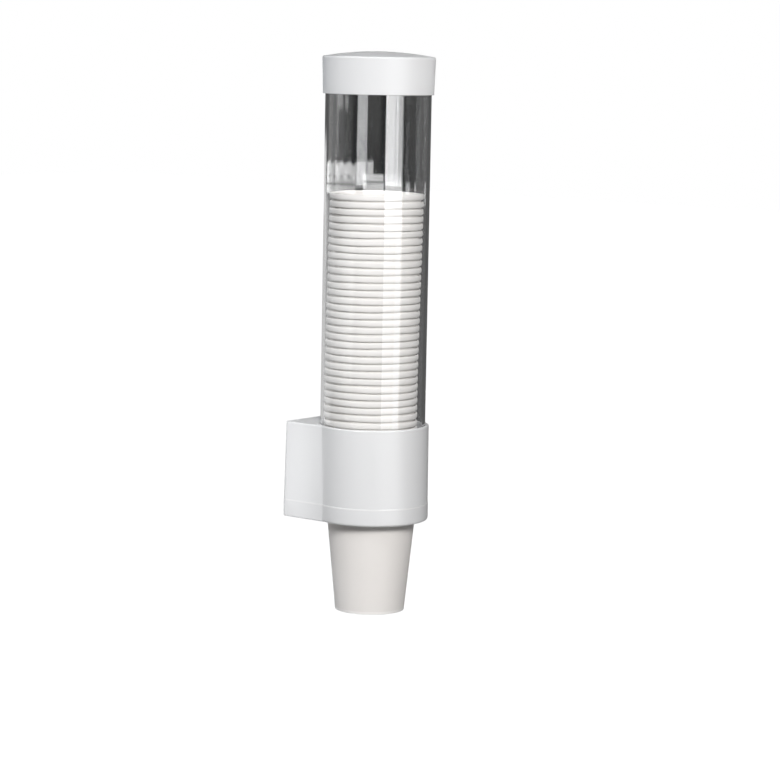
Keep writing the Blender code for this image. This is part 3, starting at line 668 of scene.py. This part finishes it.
def smoothMoulding(name, node, finish, body, reshape=None):
    # merged copy of a CAD solid: rounded edges and round walls shaded smooth, flat faces left flat
    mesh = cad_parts[node].data
    points = np.empty(len(mesh.vertices) * 3, np.float32)
    mesh.vertices.foreach_get("co", points)
    corners = np.empty(len(mesh.loops), np.int32)
    mesh.loops.foreach_get("vertex_index", corners)
    places, merged = np.unique(np.round(points.reshape(-1, 3), 6), axis=0, return_inverse=True)
    if reshape:
        places = reshape(places.astype(float))
    faces = merged.ravel()[corners].reshape(-1, 3)
    faces = faces[(faces[:, 0] != faces[:, 1]) & (faces[:, 1] != faces[:, 2]) & (faces[:, 2] != faces[:, 0])]
    solid = bpy.data.meshes.new(name)
    solid.from_pydata(places.tolist(), [], faces.tolist())
    solid.validate()
    solid.shade_smooth()
    sharpen(solid, 33)
    piece = addPiece(name, solid, finish, body, "white_plastic", node)
    weighted = piece.modifiers.new("weightedNormals", "WEIGHTED_NORMAL")
    weighted.keep_sharp = True
    weighted.weight = 80


smoothMoulding("housingShell", "housing", housingPlastic, "housing")
smoothMoulding("coverShell", "bottom_cover", coverPlastic, "housing", closedSeam)
smoothMoulding("wallPlate", "wall_plate", housingPlastic, "plate")
print("mouldings ready")


# Lid

lid = {
    "edge": 0.3263,  # height of the upper rim
    "skirtHeight": 0.0293,
    "wall": 0.0014,
    "bottomRadius": 0.0434,
    "topRadius": 0.0443,
    "fillet": 0.0017,
    "shoulder": 1.2,  # how many fillets inside the rim the dome begins
    "plate": 0.0018,
    "dome": 0.0038,
    "seatRadius": 0.0395,
    "steps": 256,
}


def lidProfile(lid):
    # from the dome's middle over the rim and down the skirt, then back inside; the dome's height falls
    # with the square of the radius
    shoulder = lid["topRadius"] - lid["fillet"] * lid["shoulder"]
    radius = np.linspace(0, shoulder, 16)
    dome = np.column_stack([radius, lid["edge"] + lid["dome"] * (1 - (radius / shoulder) ** 2)])
    skirtLow = lid["edge"] - lid["skirtHeight"]
    ceiling = lid["edge"] - lid["plate"]
    rim = roundedLine([
        (shoulder, lid["edge"], 0),
        (lid["topRadius"], lid["edge"], lid["fillet"]),
        (lid["bottomRadius"], skirtLow, 0.00045),
        (lid["bottomRadius"] - lid["wall"], skirtLow, 0.00045),
        (lid["topRadius"] - lid["wall"], ceiling, 0.0004),
        (lid["seatRadius"], ceiling, 0.0002),
        (0.0, lid["edge"] + lid["dome"] - lid["plate"], 0),
    ], spacing=0.005)
    return np.concatenate([dome, rim[1:]])


lidMesh = gridMesh("lid", turnedGrid(lidProfile(lid), lid["steps"]), poleFirst=True, poleLast=True)
sharpen(lidMesh, 50)
addPiece("lidCap", lidMesh, shadedLidPlastic, "lid", "white_plastic", "lid")
print("lid ready")


# Tube

tube = {
    "radius": 0.0415,
    "wall": 0.002,
    "low": -0.0197,
    "high": 0.3242,
    "ease": 0.0004,
    "steps": 256,
    "colour": (0.98, 0.982, 0.985),
    "lineScale": 500.0,
    "lineDepth": 0.00001,
}


def tubeProfile(tube):
    # closed section of the wall with eased edges
    inner = tube["radius"] - tube["wall"]
    return roundedLine([
        (inner, tube["low"], tube["ease"]),
        (tube["radius"], tube["low"], tube["ease"]),
        (tube["radius"], tube["high"], tube["ease"]),
        (inner, tube["high"], tube["ease"]),
    ], spacing=0.01, closed=True)


tubeMesh = gridMesh("tube", turnedGrid(tubeProfile(tube), tube["steps"]), loop=True)
addPiece("clearTube", tubeMesh, clearAcrylic(tube), "tube", "clear_acrylic", "tube")
print("tube ready")


# Cups

cup = {
    "count": 45,
    "height": 0.0787,
    "rimRadius": 0.037,
    "rimHeight": 0.0032,
    "stackRimHeight": 0.0044,
    "neckRadius": 0.03503,
    "footRadius": 0.02745,
    "wall": 0.00028,
    "skirtWall": 0.0005,
    "baseRise": 0.005,
    "baseThickness": 0.0004,
    "pitch": 0.00573,
    "jitter": 0.00018,  # how unevenly the cups of the stack are pushed together
    "lean": 0.0019,  # how far the column of cups stands off the middle, low in the tube
    "leanPlaces": [1, 11, 20, 43],
    "leanShares": [0, 1, 1, 0],
    "lowestBottom": -0.111004,
    "seed": 700,  # of the first cup's random draws
    "rollPower": 0.88,
    "rollEnd": 0.62,  # half turns that the roll goes on under the rim
    "seamWidth": 0.006,
    "seamStep": 0.00018,
    "seamSoft": 0.0004,
    "rimWave": 0.0002,
    "wallWave": 0.00003,
    "steps": 120,
    "hangingSeam": 100.0,  # degrees, on the side away from the camera
}


def cupProfile(cup, rimHeight):
    # base, inner wall, rolled rim, outer wall, foot and recessed base; the roll is an oval whose sine and
    # cosine go through a power, and the other two results are 1 for points of the rim and the outer wall
    slope = (cup["neckRadius"] - cup["footRadius"]) / (cup["height"] - rimHeight)
    baseTop = cup["baseRise"] + cup["baseThickness"]
    innerFoot = cup["footRadius"] + slope * baseTop - cup["wall"]
    innerTop = cup["footRadius"] + slope * cup["height"] - cup["wall"]
    rollMiddle = (innerTop + cup["rimRadius"]) / 2
    rollWidth = (cup["rimRadius"] - innerTop) / 2
    rollHeight = rimHeight / 2
    rollLevel = cup["height"] - rollHeight
    turn = np.linspace(np.pi, -np.pi * cup["rollEnd"], 26)
    oval = np.column_stack([
        rollMiddle + rollWidth * np.sign(np.cos(turn)) * np.abs(np.cos(turn)) ** cup["rollPower"],
        rollLevel + rollHeight * np.sign(np.sin(turn)) * np.abs(np.sin(turn)) ** cup["rollPower"],
    ])
    inside = roundedLine([
        (0.0, baseTop, 0),
        (innerFoot, baseTop, 0.0006),
        (innerTop - slope * rollHeight, rollLevel - 0.0004, 0),
    ], spacing=0.011)
    under = cup["height"] - rimHeight
    outside = roundedLine([
        (cup["neckRadius"] - slope * 0.0006, under - 0.0006, 0),
        (cup["footRadius"], 0.0, 0.0002),
        (cup["footRadius"] - cup["skirtWall"], 0.0, 0.0002),
        (cup["footRadius"] + slope * cup["baseRise"] - cup["skirtWall"], cup["baseRise"], 0.0003),
        (0.0, cup["baseRise"], 0),
    ], spacing=0.008)
    profile = np.concatenate([inside, oval, outside])
    rim = np.concatenate([np.zeros(len(inside)), np.ones(len(oval)), np.zeros(len(outside))])
    wall = np.zeros(len(profile))
    body = slice(len(inside) + len(oval), None)
    radius, height = profile[body].T
    wall[body] = (radius > cup["footRadius"] + slope * height - 0.0001) & (height > 0.0001)
    return profile, rim, wall


def makeCup(number, cup, finish, shape):
    # one cup: the side seam is a low step round part of the outer wall, and three sines of the angle make
    # the rim a little wavy
    profile, rim, wall = shape
    draws = np.random.default_rng(cup["seed"] + number)
    angle = np.linspace(0, 2 * np.pi, cup["steps"], endpoint=False)
    seamAngle = math.radians(cup["hangingSeam"]) if number == 1 else draws.uniform(0, 2 * np.pi)
    phases = draws.uniform(0, 2 * np.pi, 4)
    wave = np.sin(2 * angle + phases[0])
    wave += 0.6 * np.sin(3 * angle + phases[1])
    wave += 0.3 * np.sin(7 * angle + phases[2])
    apart = np.abs((angle - seamAngle + np.pi) % (2 * np.pi) - np.pi) * cup["neckRadius"]
    step = np.clip((cup["seamWidth"] / 2 - apart) / cup["seamSoft"] + 0.5, 0, 1)
    swell = wall[:, None] * (step * cup["seamStep"]) + 0.5 * (rim + wall)[:, None] * wave * cup["wallWave"]
    lift = rim[:, None] * wave * cup["rimWave"]
    place = number - 1
    bottom = cup["lowestBottom"] + place * cup["pitch"]
    if number > 2:
        bottom += draws.uniform(-cup["jitter"], cup["jitter"])
    grid = turnedGrid(profile + np.array([0.0, bottom]), cup["steps"], swell, lift)
    share = np.interp(place, cup["leanPlaces"], cup["leanShares"])
    turned = math.radians(cameraView["azimuth"])
    grid += cup["lean"] * share * np.array([-math.cos(turned), -math.sin(turned), 0.0])
    mesh = gridMesh(f"cup_{number:02d}", grid, poleFirst=True, poleLast=True)
    sharpen(mesh, 55)
    nodes = {1: ["lowest_cup"], 2: ["next_cup"], cup["count"]: ["top_cup"]}.get(number, ["cup_stack"])
    slot = "nested_paper" if nodes == ["cup_stack"] else "cup_paper"
    return addPiece(f"cup_{number:02d}", mesh, finish, "cup" if number == 1 else "stack", slot, *nodes)


# painted highlight at the hanging cup's foot: height of its line, how softly it ends, paler colour under it
footHighlight = {"line": cup["lowestBottom"] + 0.0022, "soft": 0.0003, "colour": (0.95, 0.93, 0.91)}

# one cup board in a lit and a shaded copy: the stack's colour is painted lighter and the hanging cup's
# darker, for the light that falls on each
shadedHangingPaper = cupPaper("shadedHangingPaper", (0.895, 0.865, 0.84), footHighlight)
litStackPaper = cupPaper("litStackPaper", (0.93, 0.91, 0.885))
hangingShape = cupProfile(cup, cup["rimHeight"])
stackShape = cupProfile(cup, cup["stackRimHeight"])
makeCup(1, cup, shadedHangingPaper, hangingShape)
makeCup(2, cup, litStackPaper, hangingShape)
for cupNumber in range(3, cup["count"] + 1):
    makeCup(cupNumber, cup, litStackPaper, stackShape)
print("cups ready")


# Finger ring and fingers

ring = {"inner": 0.0384, "outer": 0.0433, "low": -0.0285, "high": -0.0243, "ease": 0.0005, "steps": 192}

finger = {
    "count": 6,
    "hingeRadius": 0.0389,
    "hingeHeight": -0.0294,
    "thickness": 0.0012,
    "width": 0.012,
    "drop": 0.0077,
    "toeReach": 0.0029,
    "toeHeight": 0.0010,
    "rise": 0.98,  # how far the path begins over the hinge, in halves of the thickness
    "bend": 0.0016,
    "taperAt": [0, 0.7, 1],  # shares of the length
    "taper": [1.0, 1.15, 0.82],  # shares of the thickness there
    "flatness": 0.35,  # power of the section's cosine, 1 for an ellipse and near 0 for a box
}


def makeRing(ring):
    # closed section with eased edges, turned round the tube's axis
    section = roundedLine([
        (ring["inner"], ring["low"], ring["ease"]),
        (ring["outer"], ring["low"], ring["ease"]),
        (ring["outer"], ring["high"], ring["ease"]),
        (ring["inner"], ring["high"], ring["ease"]),
    ], spacing=0.002, closed=True)
    mesh = gridMesh("fingerRing", turnedGrid(section, ring["steps"]), loop=True)
    addPiece("fingerRing", mesh, rubber, "housing", "soft_rubber", "finger_ring")


def makeFinger(number, finger):
    # a rounded slat carried along a path that runs down from the hinge and bends in to the toe; the slat
    # follows the circle of the ring, and both ends close to a point
    half = finger["thickness"] / 2
    low = -finger["drop"] + finger["toeHeight"] / 2
    path = roundedLine([
        (0.0, half * finger["rise"], 0),
        (0.0, low, finger["bend"]),
        (-finger["toeReach"], low, 0),
    ], facets=10, spacing=0.0007, margin=0.0001)
    along = np.gradient(path, axis=0)
    along /= np.linalg.norm(along, axis=1)[:, None]
    side = np.column_stack([-along[:, 1], along[:, 0]])
    length = np.concatenate([[0], np.cumsum(np.linalg.norm(np.diff(path, axis=0), axis=1))])
    fromEnd = np.minimum(length, length[-1] - length)
    thick = half * np.sqrt(np.clip(1 - (1 - np.clip(fromEnd / half, 0, 1)) ** 2, 0, 1))
    thick *= np.interp(length / length[-1], finger["taperAt"], finger["taper"])
    wide = finger["width"] / 2 - half + thick
    turn = np.linspace(0, 2 * np.pi, 40, endpoint=False)
    flat = np.sign(np.cos(turn)) * np.abs(np.cos(turn)) ** finger["flatness"]
    across = wide[:, None] * flat[None]
    offset = thick[:, None] * np.sin(turn)[None]
    out = path[:, :1] + offset * side[:, :1]
    height = finger["hingeHeight"] + path[:, 1:] + offset * side[:, 1:]
    radius = finger["hingeRadius"] + out
    angle = 2 * np.pi * (number - 0.5) / finger["count"] + across / finger["hingeRadius"]
    grid = np.stack([radius * np.cos(angle), axisY + radius * np.sin(angle), height], axis=2)
    grid[0] = grid[0].mean(axis=0)
    grid[-1] = grid[-1].mean(axis=0)
    mesh = gridMesh(f"finger_{number}", grid, poleFirst=True, poleLast=True)
    sharpen(mesh, 60)
    addPiece(f"softFinger_{number}", mesh, rubber, f"finger_{number}", "soft_rubber", f"finger_{number}")


makeRing(ring)
for fingerNumber in range(1, finger["count"] + 1):
    makeFinger(fingerNumber, finger)
print("fingers ready")


# Screws of the bottom cover

screw = {
    "headRadius": 0.0026,
    "headHeight": 0.0018,
    "faceShare": 0.93,  # the head's face ends at this share of its radius
    "crown": 0.0005,
    "shoulder": 0.0009,
    "shankRadius": 0.00112,
    "threadDepth": 0.0002,
    "threadPitch": 0.0008,
    "tipLength": 0.0018,
    "recessArm": 0.0003,
    "recessReach": 0.0015,
    "recessDepth": 0.0010,
    "armSoft": 0.00012,  # widths over which the recess's sides and ends slope
    "reachSoft": 0.0003,
    "threadRun": 0.0015,  # length over which the thread grows to its depth
    "steps": 72,
}


def makeScrew(number, screw):
    # pan head, seen from below, with a cross recess: its depth is full where either arm is near; the
    # shank's radius swings with height and angle as a thread
    low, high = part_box(f"cover_screw_{number}")
    middle = np.array([(low.x + high.x) / 2, (low.y + high.y) / 2])
    headLow, tip = low.z, high.z
    headTop = headLow + screw["headHeight"]
    angle = np.linspace(0, 2 * np.pi, screw["steps"], endpoint=False)[None]
    radius = np.linspace(0, 1, 22)[:, None] * screw["headRadius"] * screw["faceShare"]
    x, y = radius * np.cos(angle), radius * np.sin(angle)
    arm = np.minimum(np.abs(x), np.abs(y))
    recess = np.clip((screw["recessArm"] - arm) / screw["armSoft"] + 0.5, 0, 1)
    recess = recess * np.clip((screw["recessReach"] - radius) / screw["reachSoft"] + 0.5, 0, 1)
    crown = screw["crown"] * (radius / screw["headRadius"]) ** 4
    face = headLow + crown + recess * screw["recessDepth"]
    side = roundedLine([
        (screw["headRadius"] * screw["faceShare"], headLow + screw["crown"] * screw["faceShare"] ** 4, 0),
        (screw["headRadius"], headLow + screw["shoulder"], 0.0003),
        (screw["headRadius"], headTop, 0.0001),
        (screw["shankRadius"], headTop, 0),
    ], spacing=0.001, margin=0.0001)[1:]
    shank = np.linspace(headTop + 0.0001, tip - screw["tipLength"], 90)
    swing = screw["threadDepth"] * np.cos(2 * np.pi * shank[:, None] / screw["threadPitch"] - angle)
    swing *= np.clip((shank[:, None] - headTop) / screw["threadRun"], 0, 1)
    point = np.linspace(0, 1, 9)[1:]
    tipRadius = screw["shankRadius"] * (1 - point ** 1.6)
    tipHeight = tip - screw["tipLength"] * (1 - point)
    level = 0 * angle  # the same at every angle
    rowsRadius = np.concatenate([
        radius + level,
        side[:, :1] + level,
        screw["shankRadius"] + swing,
        tipRadius[:, None] + level,
    ])
    rowsHeight = np.concatenate([
        face,
        side[:, 1:] + level,
        shank[:, None] + level,
        tipHeight[:, None] + level,
    ])
    across = middle[0] + rowsRadius * np.cos(angle)
    away = middle[1] + rowsRadius * np.sin(angle)
    grid = np.stack([across, away, rowsHeight], axis=2)
    mesh = gridMesh(f"screw_{number}", grid, poleFirst=True, poleLast=True)
    sharpen(mesh, 40)
    addPiece(f"crossScrew_{number}", mesh, steel, "housing", "screw_steel", f"cover_screw_{number}")


for screwNumber in range(1, 5):
    makeScrew(screwNumber, screw)
print("screws ready")


# Foam pads

pad = {
    "halfWidth": 0.027,
    "halfHeight": 0.008,
    "thickness": 0.001,
    "spread": 0.019,  # each pad's distance from the wall plate's middle
    "corner": 0.0012,
    "ease": 0.0003,
}


def makePad(node, side, pad):
    # rounded sheet: a rounded rectangle drawn in by the eased edge as it nears either face
    turn = np.linspace(0, 2 * np.pi, 96, endpoint=False)
    quarterX, quarterZ = np.sign(np.cos(turn)), np.sign(np.sin(turn))
    corner = pad["corner"]
    ease = np.linspace(0, np.pi / 2, 6)
    opening = pad["ease"] * (1 - np.sin(ease))
    closing = pad["ease"] * (1 - np.cos(ease))
    outward = np.linspace(0, 1, 10)[:-1]
    face = np.ones(len(outward))
    edge = np.ones(len(ease))
    shares = np.concatenate([outward, edge, edge, outward[::-1]])
    insets = np.concatenate([face * pad["ease"], opening, closing, face * pad["ease"]])
    depths = np.concatenate([face * 0.0, closing, pad["thickness"] - opening, face * pad["thickness"]])
    halfX = pad["halfWidth"] - corner
    halfZ = pad["halfHeight"] - corner
    x = (halfX * quarterX + (corner - insets[:, None]) * np.cos(turn)) * shares[:, None]
    z = (halfZ * quarterZ + (corner - insets[:, None]) * np.sin(turn)) * shares[:, None]
    grid = np.stack([x, -depths[:, None] + 0 * x, side * pad["spread"] + z], axis=2)
    mesh = gridMesh(f"{node}_sheet", grid, poleFirst=True, poleLast=True)
    sharpen(mesh, 50)
    piece = addPiece(f"{node}_sheet", mesh, foam, "plate", "adhesive_foam", node)


makePad("foam_pad_upper", 1, pad)
makePad("foam_pad_lower", -1, pad)
print("pads ready")
